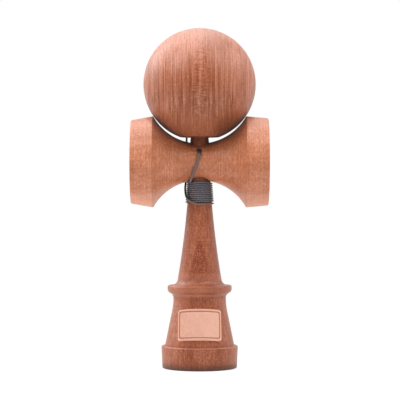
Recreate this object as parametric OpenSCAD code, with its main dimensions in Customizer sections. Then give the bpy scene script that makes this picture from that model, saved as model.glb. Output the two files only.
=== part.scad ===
// Kendama: a turned handle with a spike, a cross piece with two cups, a drilled ball and a wound string.
// Millimetres. +Z runs up the handle, the front faces -Y, and the origin is under the middle of the foot.

/* [Ball] */
// Diameter of the ball
tama_d = 60.4; // [57:0.2:64]
// Diameter of the hole that takes the spike
tama_hole_d = 18; // [15:0.5:19.5]
// Depth of the spike hole from its mouth
tama_hole_depth = 43; // [41:0.5:46]
// Outer diameter of the bevel round the mouth of the spike hole
tama_bevel_d = 20.5; // [20:0.5:26]
// Diameter of the string hole at the top of the ball
tama_eye_d = 3; // [2:0.25:4]
// Diameter of the countersink round the string hole
tama_sink_d = 8; // [6:0.5:10]
// Gap between the resting ball and the ridges that carry it
tama_seat_gap = 0.1; // [0.1:0.05:0.5]

/* [Cross piece] */
// Length of the cross piece over both cups
sarado_l = 73.8; // [68:0.2:80]
// Height of its axis above the foot
sarado_z = 110.7; // [104:0.1:116]
// Diameter at the ridges between the waist and the cups
ridge_d = 49; // [46:0.2:52]
// Distance between the two ridges
ridge_span = 50; // [46:0.5:53]
// Smallest diameter of the waist
waist_d = 19.8; // [18.5:0.1:22]
// Outer diameter at the rim of the big cup
big_rim_d = 47; // [45:0.2:48]
// Diameter of the big cup inside its lip
big_lip_d = 41.6; // [38:0.2:43]
// Depth of the big cup
big_cup_depth = 10.8; // [8:0.2:13]
// Outer diameter at the rim of the small cup
small_rim_d = 44.8; // [42.5:0.2:46]
// Diameter of the small cup inside its lip
small_lip_d = 39; // [36:0.2:40.5]
// Depth of the small cup
small_cup_depth = 9.6; // [7:0.2:12]
// Diameter of the string hole in the front of the waist
sarado_eye_d = 2.4; // [1.8:0.1:3]
// Height of the string hole above the axis of the cross piece
sarado_eye_rise = 5.2; // [4.5:0.1:6.5]
// Radius of the rounded ridges
ridge_round = 0.5; // [0.3:0.05:0.8]
// Radius of the rounded cup rims
rim_round = 0.8; // [0.4:0.05:1.1]
// Gap between the tapered handle and the bore that sits on it
taper_gap = 0.05; // [0.02:0.01:0.1]

/* [Handle] */
// Diameter of the foot band at its foot
foot_d = 40.1; // [38:0.1:41]
// Largest diameter of the foot band
band_d = 41.2; // [40.2:0.1:44]
// Height of the foot band
band_h = 12.1; // [10.5:0.1:14]
// Radius of the band's rounded edges
band_round = 0.8; // [0.4:0.05:1.2]
// Diameter of the foot cup inside its lip
foot_cup_d = 35.4; // [31:0.2:36]
// Depth of the foot cup
foot_cup_depth = 8.6; // [6:0.2:10]
// Diameter of the skirt where it meets the band
skirt_d = 37.3; // [35.5:0.1:38.4]
// Diameter of the neck between the skirt and the flange
neck_d = 28.2; // [26:0.1:30]
// Radius of the curve that leads the skirt into the neck
skirt_curve = 33; // [25:1:36]
// Radius of the cove between the neck and the flange
neck_cove = 3.2; // [2.4:0.1:3.8]
// Diameter of the flange
flange_d = 34.5; // [33:0.1:37]
// Thickness of the flange, whose lower half is a quarter round
flange_t = 4.2; // [3.4:0.1:5]
// Radius of the flange's upper edge
flange_round = 1; // [0.5:0.1:1.6]
// Height of the middle of the flange
flange_z = 42.4; // [40:0.1:45]
// Radius of the cove between the flange and the grip
grip_cove = 3.5; // [2:0.1:3.8]
// Diameter of the grip at the flange
grip_d = 24.6; // [22.5:0.1:25.5]
// Radius of the long hollow curve of the grip
grip_curve = 490; // [400:5:800]
// Diameter of the handle under the cross piece
taper_d = 11.5; // [11:0.1:12.2]
// Diameter of the spike where it leaves the cross piece
spike_d = 10.2; // [9.6:0.1:10.8]
// Length of the spike above the cross piece
spike_l = 34; // [30:0.5:36]
// Diameter of the rounded tip of the spike
spike_tip_d = 3.8; // [3:0.1:5]
// Diameter of the string hole in the front of the handle
ken_eye_d = 2; // [1.6:0.1:2.4]
// Diameter of the pocket for the knot in the back of the handle
knot_pocket_d = 4.4; // [4.2:0.1:5]
// Distance from the axis back to the floor of the knot pocket
knot_pocket_floor = 0.6; // [0.3:0.1:0.8]

/* [String] */
// Diameter of the string
string_d = 1.1; // [0.9:0.05:1.2]
// Turns of string wound round the handle
wind_turns = 10.79; // [8.79:1:10.79]
// Distance from one wound turn to the next, centre to centre
wind_pitch = 1.035; // [1.01:0.005:1.1]
// Gap between one wound turn and the next
turn_gap = 0.43; // [0.42:0.01:0.5]
// Gap between the wound string and the handle
wind_gap = 0.1; // [0.05:0.05:0.2]
// Diameter of the knots
knot_d = 3.4; // [3:0.1:3.8]
// Diameter of the bead that the ball turns on
bead_d = 8; // [6.5:0.25:9]
// Diameter of the hole in the bead
bead_bore_d = 2; // [1.6:0.1:2.6]
// Gap between the bead and what it bears on
bead_gap = 0.1; // [0.05:0.05:0.3]

/* [Leather patch] */
// Width of the patch, seen from the front
patch_w = 22.7; // [18:0.1:25]
// Height of the patch
patch_h = 16.5; // [12:0.1:17]
// Height of the patch's lower edge above the foot
patch_z = 16; // [14.5:0.1:17]
// Thickness of the leather
patch_t = 1.1; // [0.8:0.1:1.6]
// Radius of the patch's corners
patch_round = 1.2; // [0.6:0.1:2]
// Radius of the curve that its bent edges show from the front
patch_bow = 66; // [50:1:90]
// Gap under the glued leather
patch_gap = 0.05; // [0.03:0.01:0.1]

/* [Hidden] */
$fn = 128;
// Facets of the long curve of the grip
long_curve_facets = 256;
// How far every cut runs past the face that it opens
overrun = 2;

// Ball
tama_r = tama_d / 2;
tama_hole_r = tama_hole_d / 2;
tama_bevel_r = tama_bevel_d / 2;
tama_eye_r = tama_eye_d / 2;
tama_sink_r = tama_sink_d / 2;
tama_edge_round = 0.5;
ridge_r = ridge_d / 2;
ridge_x = ridge_span / 2;
waist_r = waist_d / 2;
// The ball rests on the ridges, or on the waist when it is too small to reach both ridges
tama_reach = tama_r + tama_seat_gap;
seat_on_ridges = tama_reach > ridge_x ? ridge_r + sqrt(tama_reach * tama_reach - ridge_x * ridge_x) : 0;
seat_on_waist = waist_r + tama_reach;
tama_z = sarado_z + max(seat_on_ridges, seat_on_waist);
tama_mouth_z = tama_z - sqrt(tama_r * tama_r - tama_bevel_r * tama_bevel_r);
tama_hole_top_z = tama_mouth_z + tama_hole_depth;
tama_sink_z = tama_z + sqrt(tama_r * tama_r - tama_sink_r * tama_sink_r);

// Cross piece
sarado_half = sarado_l / 2;
waist_drop = ridge_r - waist_r;
waist_curve = (waist_drop * waist_drop + ridge_x * ridge_x) / (2 * waist_drop);
eye_z = sarado_z + sarado_eye_rise;

// Handle
foot_r = foot_d / 2;
band_r = band_d / 2;
skirt_r = skirt_d / 2;
neck_r = neck_d / 2;
grip_r = grip_d / 2;
taper_r = taper_d / 2;
spike_r = spike_d / 2;
spike_tip_r = spike_tip_d / 2;
flange_r = flange_d / 2;
flange_edge = flange_t / 2;
flange_core_r = flange_r - flange_edge;
flange_top_z = flange_z + flange_edge;
taper_z = sarado_z - waist_r;
spike_z = sarado_z + waist_r;
cove_r = neck_r + neck_cove;
neck_z = flange_z - sqrt(pow(neck_cove + flange_edge, 2) - pow(cove_r - flange_core_r, 2));
skirt_centre = [neck_r + skirt_curve, neck_z];
grip_foot = [grip_r, flange_top_z];
grip_head = [taper_r, taper_z];
grip_chord = grip_head - grip_foot;
grip_out = unit([grip_chord[1], -grip_chord[0]]);
grip_rise = sqrt(grip_curve * grip_curve - grip_chord * grip_chord / 4);
grip_centre = (grip_foot + grip_head) / 2 + grip_out * grip_rise;
grip_slope = unit([flange_top_z - grip_centre[1], grip_centre[0] - grip_r]);
tip_z = spike_z + spike_l - spike_tip_r;
tip_lean = acos(spike_tip_r / norm([spike_r, tip_z - spike_z])) - atan((tip_z - spike_z) / spike_r);
tip_edge = [spike_tip_r * cos(tip_lean), tip_z + spike_tip_r * sin(tip_lean)];
lip_round = 0.5;

// String
string_r = string_d / 2;
run_sides = 8;
wind_sides = 6;
rings_per_turn = 24;
// Rings between one hand-picked point of a run and the next
run_steps = 2;
// Upright share of a heading above which a tube's first side is taken from X and not from Z
steep_share = 0.9;
// Where the winding starts: at the front left, from where it goes round by the left side
wind_start_angle = 205;
// Room between the underside of the cross piece and the first turn
wind_top_gap = 0.6;
wind_top_z = taper_z - wind_top_gap - string_r;
wound_d = wind_pitch - turn_gap;
// How far the first turns arch up into the saddle under the cross piece, and how many turns it takes to fade
wind_arch = 1;
arch_fade_turns = 4;
knot_turns = 3;
knot_r = knot_d / 2;
// Share of the string's diameter by which the turns of a knot are stacked
knot_stack_share = 0.8;
knot_h = string_d * (1 + (knot_turns - 1) * knot_stack_share);
anchor_knot_gap = 0.3;
anchor_knot_y = knot_pocket_floor + anchor_knot_gap;
bead_r = bead_d / 2;
bead_bore_r = bead_bore_d / 2;
bead_z = tama_hole_top_z - sqrt(bead_r * bead_r - tama_eye_r * tama_eye_r) - bead_gap;
bead_knot_z = bead_z - sqrt(bead_r * bead_r - bead_bore_r * bead_bore_r) - bead_gap;
// Where the string leaves the drilled wood: at the front of the waist, and at the top of the ball
front_exit = [0, -6.6, 115.9];
top_entry = [0, 0, 178.4];
// From the string hole down the front of the waist, to the left of the handle
front_route = [
    [0, -7.8, 115.9], [-0.1, -9.1, 115.5], [-0.2, -9.9, 114.7], [-0.5, -10.3, 113.4], [-0.9, -10.6, 111.6],
    [-1.5, -10.6, 109.6], [-2.2, -10.2, 107.6], [-3, -9.5, 105.6], [-3.7, -8.3, 103.6],
    [-4.4, -6.8, 101.8], [-4.9, -5.3, 100.4]
];
// From the last turn up over the winding, behind the waist, over the back of the ball and into its top
back_route = [
    [-1.4, -7.7, 88.4], [-3, -7.7, 89], [-4.7, -6.9, 90.1], [-6.3, -5.4, 91.4], [-7.6, -3.3, 93],
    [-8.2, -0.8, 95], [-8.2, 1.8, 97.2], [-7.9, 4.5, 99.6], [-7.7, 8.1, 102.2], [-7.6, 10.5, 105.5],
    [-7.5, 12, 109.2], [-7.4, 14, 113.4], [-7.2, 17.2, 120], [-7.1, 21, 127.5], [-7, 24.6, 134.5],
    [-6.8, 27.7, 140], [-6.4, 29.7, 146], [-5.9, 30.5, 152], [-5.3, 30.1, 158], [-4.6, 28.5, 164],
    [-3.8, 25.4, 170], [-2.8, 20.4, 175.7], [-1.8, 13.8, 180.2], [-0.9, 8.4, 182.3], [-0.4, 5, 183],
    [-0.1, 3, 182.7], [0, 1.6, 181.8], [0, 0.6, 180.7], [0, 0.1, 179.6]
];

// Leather patch
patch_top_z = patch_z + patch_h;
patch_half_w = patch_w / 2;
patch_cut_y = skirt_r + patch_t + overrun;

// A vector of length one
function unit(v) = v / norm(v);

// Radius of the sphere whose cap has this edge radius and this depth
function cap_radius(edge, depth) = (edge * edge + depth * depth) / (2 * depth);

// Point where the straight side of the skirt runs into its curve
function skirt_touch(foot, centre, radius) =
    let (to_foot = foot - centre, lean = acos(radius / norm(to_foot)), aim = atan2(to_foot[1], to_foot[0]))
    centre + radius * [cos(aim - lean), sin(aim - lean)];

// Radius of the handle's grip at height z
function grip_radius(z) = grip_centre[0] - sqrt(grip_curve * grip_curve - pow(z - grip_centre[1], 2));

// Point of the winding after t turns
function wind_angle(t) = wind_start_angle - 360 * t;
function wind_height(t) =
    wind_top_z - wind_pitch * t + wind_arch * pow(sin(wind_angle(t)), 2) * exp(-t / arch_fade_turns);
function wind_point(t) =
    let (a = wind_angle(t), z = wind_height(t), r = grip_radius(z) + wind_gap + string_r)
    [r * cos(a), r * sin(a), z];
function wind_heading(t) = unit(wind_point(t + 1 / rings_per_turn) - wind_point(t));

// Smooth curve through hand-picked points, with a few steps from each to the next
function curve_point(p, i, u) =
    let (a = p[max(i - 1, 0)], b = p[i], c = p[i + 1], d = p[min(i + 2, len(p) - 1)])
    (2 * b + (c - a) * u + (2 * a - 5 * b + 4 * c - d) * u * u + (3 * b - a - 3 * c + d) * u * u * u) / 2;
function curve(p, steps) = concat(
    [for (i = [0 : len(p) - 2]) for (s = [0 : steps - 1]) curve_point(p, i, s / steps)], [p[len(p) - 1]]);

// Directions along a path, and sideways directions carried along it without twist
function headings(p) = [for (i = [0 : len(p) - 1]) unit(p[min(i + 1, len(p) - 1)] - p[max(i - 1, 0)])];
function carried(side, heading) = unit(side - heading * (side * heading));
function sideways(h, i, made) =
    i == len(h) ? made : sideways(h, i + 1, concat(made, [carried(made[i - 1], h[i])]));
function any_side(heading) = carried(abs(heading[2]) < steep_share ? [0, 0, 1] : [1, 0, 0], heading);

// Least distance between one turn of a path and the next, less the thickness of the tube
function turn_clearance(p, per_turn, thickness) = min([
    for (i = [0 : len(p) - 1 - per_turn - 2]) for (k = [-2 : 2]) norm(p[i] - p[i + per_turn + k])
]) - thickness;

front_path = curve(concat([front_exit], front_route,
    [wind_point(0) - wind_heading(0) * string_d, wind_point(0)]), run_steps);
wind_end = wind_point(wind_turns);
wind_out = wind_heading(wind_turns);
winding_path = concat(
    [wind_point(0), wind_point(0) + wind_heading(0) * wound_d],
    [for (i = [1 : floor(wind_turns * rings_per_turn) - 1]) wind_point(i / rings_per_turn)],
    [wind_end - wind_out * wound_d, wind_end]);
back_path = curve(concat([wind_end, wind_end + wind_out * string_d], back_route, [top_entry]), run_steps);
echo(least_gap_between_turns = turn_clearance(winding_path, rings_per_turn, wound_d));
echo(wound_string_length = sum_steps(winding_path), front_run_length = sum_steps(front_path),
     back_run_length = sum_steps(back_path));
function sum_steps(p) = let (s = [for (i = [1 : len(p) - 1]) norm(p[i] - p[i - 1])]) s * [for (v = s) 1];

// Takes a rounded wedge off a convex corner whose edges run along two directions
module corner_cut(vertex, along_a, along_b, radius) {
    a = unit(along_a);
    b = unit(along_b);
    half = acos(a * b) / 2;
    middle = unit(a + b);
    centre = vertex + middle * radius / sin(half);
    reach = radius / tan(half);
    difference() {
        polygon([vertex - middle * overrun, vertex + a * reach, centre, vertex + b * reach]);
        translate(centre) circle(radius);
    }
}

// A tube of flat facets along a path
module tube(path, thickness, sides) {
    h = headings(path);
    across = sideways(h, 1, [any_side(h[0])]);
    last = len(path) - 1;
    points = [
        for (i = [0 : last]) for (s = [0 : sides - 1])
            let (up = cross(h[i], across[i]), turn = 360 * s / sides)
            path[i] + (across[i] * cos(turn) + up * sin(turn)) * thickness / 2
    ];
    walls = [
        for (i = [0 : last - 1]) for (s = [0 : sides - 1]) for (half = [0, 1])
            let (n = (s + 1) % sides, a = i * sides + s, b = i * sides + n, c = a + sides, d = b + sides)
            half == 0 ? [a, c, b] : [b, c, d]
    ];
    start_cap = [for (s = [1 : sides - 2]) [0, s, s + 1]];
    end_cap = [for (s = [1 : sides - 2]) [last * sides, last * sides + s + 1, last * sides + s]];
    polyhedron(points, concat(start_cap, walls, end_cap));
}

// Half outline of the turned handle, from its foot to the tip of its spike
module ken_outline() {
    foot_cup_sphere = cap_radius(foot_cup_d / 2, foot_cup_depth);
    foot_lip = [foot_cup_d / 2, 0];
    foot_lip_dip = [-(foot_cup_sphere - foot_cup_depth), foot_lip[0]];
    band_side = [band_r - foot_r, band_h];
    skirt_foot = [skirt_r, band_h];
    // Foot band with its cup
    difference() {
        polygon([[0, 0], [foot_r, 0], [band_r, band_h], [0, band_h]]);
        translate([0, foot_cup_depth - foot_cup_sphere]) circle(foot_cup_sphere);
        corner_cut([foot_r, 0], band_side, [-1, 0], band_round);
        corner_cut([band_r, band_h], -band_side, [-1, 0], band_round);
        corner_cut(foot_lip, foot_lip_dip, [1, 0], lip_round);
    }
    // Skirt up to the neck
    difference() {
        polygon([[0, band_h], skirt_foot, skirt_touch(skirt_foot, skirt_centre, skirt_curve),
                 skirt_centre, [0, neck_z]]);
        translate(skirt_centre) circle(skirt_curve);
    }
    // Cove and flange
    difference() {
        polygon([[0, neck_z], [cove_r, neck_z], [flange_core_r, flange_z], [0, flange_z]]);
        translate([cove_r, neck_z]) circle(neck_cove);
    }
    translate([flange_core_r, flange_z]) circle(flange_edge);
    difference() {
        translate([0, flange_z]) square([flange_r, flange_edge]);
        corner_cut([flange_r, flange_top_z], [-1, 0], [0, -1], flange_round);
    }
    // Grip and the cove at its foot
    difference() {
        polygon([[0, flange_top_z], grip_foot, grip_head, [0, taper_z]]);
        translate(grip_centre) circle(grip_curve, $fn = long_curve_facets);
    }
    grip_fillet();
    // Tapered seat of the cross piece, spike and tip
    polygon([[0, taper_z], [taper_r, taper_z], [spike_r, spike_z], tip_edge, [0, tip_edge[1]]]);
    intersection() {
        translate([0, tip_z]) circle(spike_tip_r);
        translate([0, tip_edge[1]]) square(spike_tip_r);
    }
}

// Fills the corner between the flange and the grip with a tangent cove
module grip_fillet() {
    lean = acos(grip_slope * [1, 0]);
    reach = grip_cove / tan(lean / 2);
    centre = [grip_r + reach, flange_top_z + grip_cove];
    difference() {
        polygon([grip_foot, [centre[0], flange_top_z], centre, grip_foot + grip_slope * reach,
                 [0, centre[1]], [0, flange_top_z]]);
        translate(centre) circle(grip_cove);
    }
}

module ken() {
    color([0.63, 0.37, 0.28]) difference() {
        rotate_extrude() ken_outline();
        // String hole from the front, and the pocket that traps the knot at the back
        translate([0, knot_pocket_floor + overrun, eye_z]) rotate([90, 0, 0])
            cylinder(d = ken_eye_d, h = knot_pocket_floor + taper_r + 2 * overrun);
        translate([0, knot_pocket_floor, eye_z]) rotate([-90, 0, 0])
            cylinder(d = knot_pocket_d, h = taper_r + overrun);
    }
}

// Half outline of the cross piece along its own axis, small cup first
module sarado_outline() {
    big_rim = [big_rim_d / 2, sarado_half];
    small_rim = [small_rim_d / 2, -sarado_half];
    big_ridge = [ridge_r, ridge_x];
    small_ridge = [ridge_r, -ridge_x];
    waist_way = [ridge_x, waist_curve - waist_drop];
    big_sphere = cap_radius(big_lip_d / 2, big_cup_depth);
    small_sphere = cap_radius(small_lip_d / 2, small_cup_depth);
    difference() {
        polygon([[0, -sarado_half], small_rim, small_ridge, big_ridge, big_rim, [0, sarado_half]]);
        translate([waist_r + waist_curve, 0]) circle(waist_curve);
        translate([0, sarado_half - big_cup_depth + big_sphere]) circle(big_sphere);
        translate([0, small_cup_depth - sarado_half - small_sphere]) circle(small_sphere);
        corner_cut(big_ridge, big_rim - big_ridge, [-waist_way[0], -waist_way[1]], ridge_round);
        corner_cut(small_ridge, small_rim - small_ridge, [-waist_way[0], waist_way[1]], ridge_round);
        corner_cut(big_rim, big_ridge - big_rim, [-1, 0], rim_round);
        corner_cut(small_rim, small_ridge - small_rim, [-1, 0], rim_round);
        corner_cut([big_lip_d / 2, sarado_half], [1, 0],
                   [big_cup_depth - big_sphere, -big_lip_d / 2], lip_round);
        corner_cut([small_lip_d / 2, -sarado_half], [1, 0],
                   [small_cup_depth - small_sphere, small_lip_d / 2], lip_round);
    }
}

module sarado() {
    // The bore follows the taper of the handle, and runs on past both sides of the waist
    taper_rate = (taper_r - spike_r) / waist_d;
    color([0.70, 0.42, 0.31]) difference() {
        translate([0, 0, sarado_z]) rotate([0, 90, 0]) rotate_extrude() sarado_outline();
        translate([0, 0, taper_z - overrun])
            cylinder(r1 = taper_r + taper_gap + taper_rate * overrun,
                     r2 = spike_r + taper_gap - taper_rate * overrun, h = waist_d + 2 * overrun);
        translate([0, 0, eye_z]) rotate([90, 0, 0]) cylinder(d = sarado_eye_d, h = waist_r + overrun);
    }
}

// Half outline of the ball with its spike hole, string hole, bevel and countersink
module tama_outline() {
    bevel_depth = tama_bevel_r - tama_hole_r;
    sink_depth = tama_sink_r - tama_eye_r;
    mouth = [tama_bevel_r, tama_mouth_z - tama_z];
    difference() {
        intersection() {
            circle(tama_r);
            translate([0, -tama_r]) square([tama_r, tama_d]);
        }
        translate([0, -tama_z]) polygon([
            [0, tama_mouth_z - tama_r], [tama_bevel_r + tama_r, tama_mouth_z - tama_r],
            [tama_bevel_r, tama_mouth_z], [tama_hole_r, tama_mouth_z + bevel_depth],
            [tama_hole_r, tama_hole_top_z], [tama_eye_r, tama_hole_top_z],
            [tama_eye_r, tama_sink_z - sink_depth], [tama_sink_r + overrun, tama_sink_z + overrun],
            [0, tama_sink_z + overrun]
        ]);
        corner_cut(mouth, [-1, 1], [-mouth[1], mouth[0]], tama_edge_round);
    }
}

module tama() {
    color([0.76, 0.50, 0.40]) translate([0, 0, tama_z]) rotate_extrude() tama_outline();
}

// Front view of the patch: straight sides, and edges that bow because it is bent round the skirt
module patch_outline() {
    top_centre = patch_top_z - patch_bow;
    bottom_centre = patch_z - patch_bow;
    side_drop = patch_bow - sqrt(patch_bow * patch_bow - patch_half_w * patch_half_w);
    edge_way = [patch_bow - side_drop, patch_half_w];
    difference() {
        intersection() {
            translate([-patch_half_w, patch_z - side_drop]) square([patch_w, patch_h + side_drop]);
            translate([0, top_centre]) circle(patch_bow, $fn = long_curve_facets);
        }
        translate([0, bottom_centre]) circle(patch_bow, $fn = long_curve_facets);
        for (side = [-1, 1]) {
            corner_cut([side * patch_half_w, patch_top_z - side_drop], [0, -1],
                       [-side * edge_way[0], edge_way[1]], patch_round);
            corner_cut([side * patch_half_w, patch_z - side_drop], [0, 1],
                       [-side * edge_way[0], edge_way[1]], patch_round);
        }
    }
}

// A ring of leather that follows the skirt, from its foot to the neck
module patch_ring(inner, outer) {
    skirt_foot = [skirt_r, band_h];
    touch = skirt_touch(skirt_foot, skirt_centre, skirt_curve);
    difference() {
        polygon([[0, band_h], skirt_foot + [outer, 0], touch + [outer, 0],
                 skirt_centre + [outer, 0], [0, neck_z]]);
        translate(skirt_centre + [outer, 0]) circle(skirt_curve);
        difference() {
            polygon([[-overrun, band_h - overrun], [skirt_r + inner, band_h - overrun],
                     skirt_foot + [inner, 0], touch + [inner, 0],
                     skirt_centre + [inner, 0], [neck_r + inner, neck_z + overrun], [-overrun, neck_z + overrun]]);
            translate(skirt_centre + [inner, 0]) circle(skirt_curve);
        }
    }
}

module leather_patch() {
    color([0.93, 0.72, 0.60]) intersection() {
        rotate_extrude() patch_ring(patch_gap, patch_gap + patch_t);
        rotate([90, 0, 0]) linear_extrude(patch_cut_y) patch_outline();
    }
}

module bead() {
    color([0.80, 0.62, 0.45]) translate([0, 0, bead_z]) rotate_extrude() difference() {
        intersection() {
            circle(bead_r);
            translate([0, -bead_r]) square([bead_r, bead_d]);
        }
        translate([-bead_bore_r, -bead_d]) square([bead_bore_d, 2 * bead_d]);
    }
}

// A barrel knot hanging below the origin: stacked turns round a core
module knot() {
    turn_r = knot_r - string_r;
    rotate_extrude() {
        translate([0, -knot_h]) square([turn_r, knot_h]);
        for (i = [0 : knot_turns - 1])
            translate([turn_r, -string_r - i * string_d * knot_stack_share]) circle(string_r);
    }
}

module bead_knot() {
    color([0.42, 0.41, 0.40]) translate([0, 0, bead_knot_z]) knot();
}

module anchor_knot() {
    color([0.42, 0.41, 0.40]) translate([0, anchor_knot_y, eye_z]) rotate([-90, 0, 0]) mirror([0, 0, 1]) knot();
}

module string_anchor_run() {
    color([0.42, 0.41, 0.40]) tube([[0, anchor_knot_y, front_exit[2]], front_exit], string_d, run_sides);
}

module string_front_run() {
    color([0.42, 0.41, 0.40]) tube(front_path, string_d, run_sides);
}

module string_winding() {
    color([0.42, 0.41, 0.40]) tube(winding_path, wound_d, wind_sides);
}

module string_back_run() {
    color([0.42, 0.41, 0.40]) tube(back_path, string_d, run_sides);
}

module string_tama_run() {
    color([0.42, 0.41, 0.40]) tube([top_entry, [0, 0, bead_knot_z]], string_d, run_sides);
}

ken();
sarado();
tama();
leather_patch();
bead();
bead_knot();
anchor_knot();
string_anchor_run();
string_front_run();
string_winding();
string_back_run();
string_tama_run();
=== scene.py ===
import bmesh
import bpy
import numpy as np
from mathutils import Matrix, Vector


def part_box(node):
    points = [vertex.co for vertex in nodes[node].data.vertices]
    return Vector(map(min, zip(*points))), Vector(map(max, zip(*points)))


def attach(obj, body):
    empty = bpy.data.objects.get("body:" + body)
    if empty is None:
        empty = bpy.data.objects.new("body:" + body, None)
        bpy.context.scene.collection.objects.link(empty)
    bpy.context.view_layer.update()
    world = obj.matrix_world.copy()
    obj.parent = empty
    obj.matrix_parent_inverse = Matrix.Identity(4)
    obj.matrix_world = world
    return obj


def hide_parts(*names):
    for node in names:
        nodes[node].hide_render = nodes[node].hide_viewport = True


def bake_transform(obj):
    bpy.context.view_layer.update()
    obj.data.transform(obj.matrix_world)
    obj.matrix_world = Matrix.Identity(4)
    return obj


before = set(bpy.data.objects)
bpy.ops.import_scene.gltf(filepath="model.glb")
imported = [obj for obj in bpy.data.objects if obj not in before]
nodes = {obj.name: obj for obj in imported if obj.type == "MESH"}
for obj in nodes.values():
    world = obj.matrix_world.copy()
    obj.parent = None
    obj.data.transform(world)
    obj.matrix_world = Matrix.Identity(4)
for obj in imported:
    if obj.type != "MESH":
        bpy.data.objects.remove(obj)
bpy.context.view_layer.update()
scene = bpy.context.scene
scene.view_settings.view_transform = "Standard"
mm = 0.001
print("frame loaded,", len(nodes), "nodes")

# Camera: level with the middle of the handle, straight in front
cameraLook = {"place": (0.0002, -0.870, 0.0902), "turn": (np.pi / 2, 0, 0), "lens": 145.6, "sensor": 36}
cameraData = bpy.data.cameras.new("camera")
cameraData.lens = cameraLook["lens"]
cameraData.sensor_width = cameraLook["sensor"]
camera = bpy.data.objects.new("camera", cameraData)
camera.location = cameraLook["place"]
camera.rotation_euler = cameraLook["turn"]
scene.collection.objects.link(camera)
scene.camera = camera
print("camera placed")


# Each row of an array divided by its length
def unit(rows):
    return rows / np.linalg.norm(rows, axis=-1, keepdims=True)


# Catmull-Rom curve through control rows of any number of columns: on each stretch the four nearest rows
# are weighted by cubics of the share u, so the curve passes through every row with no corner
def smoothCurve(controls, steps):
    rows = np.vstack([controls[:1], controls, controls[-1:]])
    a, b, c, d = (rows[i:len(rows) - 3 + i, None] for i in range(4))
    u = (np.arange(steps) / steps)[None, :, None]
    curve = b + ((c - a) * u + (2 * a - 5 * b + 4 * c - d) * u**2 + (3 * b - a - 3 * c + d) * u**3) / 2
    return np.vstack([curve.reshape(-1, controls.shape[1]), controls[-1:]])


# The same curve with its rows at even steps of arc length, and the arc length at each row
def evenRows(rows, step):
    length = np.concatenate([[0], np.cumsum(np.linalg.norm(np.diff(rows[:, :3], axis=0), axis=1))])
    at = np.linspace(0, length[-1], int(round(length[-1] / step)) + 1)
    return np.stack([np.interp(at, length, column) for column in rows.T], axis=1), at


# Quads of a grid of rows that close round on themselves, facing outwards
def ringFaces(rowCount, columnCount):
    i, j = np.meshgrid(np.arange(rowCount - 1), np.arange(columnCount), indexing="ij")
    k = (j + 1) % columnCount
    row = i * columnCount
    nextRow = row + columnCount
    return np.stack([row + j, nextRow + j, nextRow + k, row + k], axis=-1).reshape(-1, 4)


# A smooth-shaded mesh object from points in millimetres, faces and one UV pair for each face corner
def makePiece(name, points, faces, cornerUv=None):
    mesh = bpy.data.meshes.new(name)
    mesh.from_pydata((points * mm).tolist(), [], faces)
    mesh.polygons.foreach_set("use_smooth", np.ones(len(mesh.polygons), dtype=bool))
    if cornerUv is not None:
        mesh.uv_layers.new(name="cordUv").data.foreach_set("uv", cornerUv.ravel())
    piece = bpy.data.objects.new(name, mesh)
    scene.collection.objects.link(piece)
    return piece


# String: sizes and heights in millimetres, then its exit and the ends of its bend in metres
stringLook = {
    "width": 1.1, "overBallWidth": 0.8, "overBallZ": 181.5, "ringStep": 0.15, "sides": 20,
    "longSteps": 16, "shortSteps": 8, "ballPoints": 8,
    "braidStrands": 3, "braidLay": 1.9, "braidDepth": 0.02,
    "frontWidth": 2.0, "frontFootWidth": 1.4, "frontHeight": 1.0, "frontTopPoints": 7,
    "woundWidth": 0.86, "woundHeight": 1.04, "woundGap": 0.05,
    "turns": 10.79, "pitch": 1.035, "topZ": 99.65, "startAngle": 205, "arch": 1, "archFade": 4,
    "sag": 0.35, "sagTurns": (9.9, 10.4), "pointsPerTurn": 24, "loopPoint": 4, "loopZ": 95,
    "exit": (0, -0.0084, 0.1159), "bendStart": (0, 0.010, 0.112), "bendEnd": (0, 0.030, 0.160),
}
crossPieceZ = sum(corner[2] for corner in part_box("sarado")) / 2 / mm  # height of the cross piece's axis
gripCurve = {"centre": (494.93, 129.18), "radius": 490}
anchorKnotTop = np.array([0, 0.9, 115.9])
beadKnotTop = np.array([0, 0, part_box("bead_knot")[1][2] / mm])
frontExit = [0, -6.6, 115.9]
topEntry = [0, 0, 178.4]

# The string's route, with each point as in the solids or less than a millimetre away: down the front of the
# waist, then from the winding to the ball's top
frontRoute = [
    [0, -7.8, 115.9], [-0.1, -9.1, 115.5], [-0.2, -9.9, 114.7], [-0.5, -10.3, 113.4], [-0.9, -10.6, 111.6],
    [-1.5, -10.6, 109.6], [-2.2, -10.2, 107.6], [-3, -9.5, 105.6], [-3.7, -8.3, 103.6],
    [-4.4, -6.8, 101.8], [-4.9, -5.3, 100.4],
]
backRoute = [
    [-1.4, -7.7, 88.15], [-3, -7.7, 88.5], [-4.7, -6.9, 89.2], [-6.2, -5.4, 90.5], [-7.3, -3.3, 92.4],
    [-7.7, -1.4, 95], [-7.75, 1.8, 97.2], [-7.5, 4.5, 99.6], [-7.5, 8.1, 102.2], [-7.6, 10.5, 105.5],
    [-7.5, 12, 109.2], [-7.4, 14, 113.4], [-7.2, 17.2, 120], [-7.1, 21, 127.5], [-7, 24.6, 134.5],
    [-6.8, 27.7, 140], [-6.4, 29.7, 146], [-5.9, 30.5, 152], [-5.3, 30.1, 158], [-4.6, 28.5, 164],
    [-3.8, 25.4, 170], [-2.8, 20.4, 175.7], [-1.8, 13.8, 180.1], [-0.9, 8.4, 182.0], [-0.4, 5, 182.7],
    [-0.1, 3, 182.6], [0, 1.6, 181.7], [0, 0.6, 180.7], [0, 0.1, 179.6],
]


# Radius of the hollow grip at a height: the arc's centre less the half chord of its circle there
def gripRadius(z):
    centreR, centreZ = gripCurve["centre"]
    return centreR - np.sqrt(gripCurve["radius"]**2 - (z - centreZ)**2)


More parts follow.
